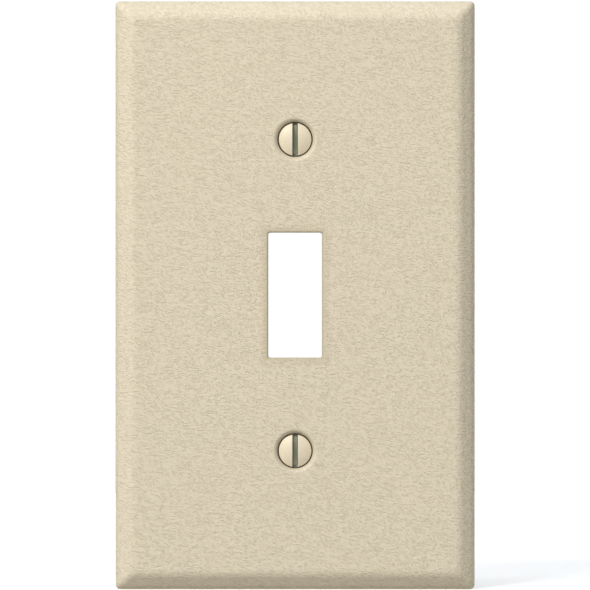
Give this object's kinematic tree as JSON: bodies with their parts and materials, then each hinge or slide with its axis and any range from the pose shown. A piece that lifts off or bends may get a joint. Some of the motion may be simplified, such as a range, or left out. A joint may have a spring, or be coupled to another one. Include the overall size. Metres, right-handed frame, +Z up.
{
  "type": "toggle switch wall plate",
  "caption": "One-gang wall plate of painted pressed steel with a toggle opening, bevelled edges and dimpled seats holding slotted oval-head screws.",
  "frame": {"origin": "the plate's centre, on the wall plane that its rim rests on, midway between the two screws", "axes": "+Z up along the plate's long side, +Y into the wall along the screws, so the face looks along -Y"},
  "size_m": [0.0698, 0.0135, 0.1142],
  "materials": {
    "plate_finish": "ivory wrinkle powder coat on pressed steel",
    "screw_finish": "ivory baked enamel on zinc-plated steel"
  },
  "bodies": {
    "plate": {"wall_plate": "plate_finish"},
    "upper_fastener": {"upper_screw": "screw_finish"},
    "lower_fastener": {"lower_screw": "screw_finish"}
  },
  "joints": [
    {"name": "upper_screw_turn", "type": "hinge", "parent": "plate", "child": "upper_fastener", "pos_m": [0, -0.00508, 0.03016], "axis": [0, 1, 0], "continuous": true},
    {"name": "lower_screw_turn", "type": "hinge", "parent": "plate", "child": "lower_fastener", "pos_m": [0, -0.00508, -0.03016], "axis": [0, 1, 0], "continuous": true}
  ]
}
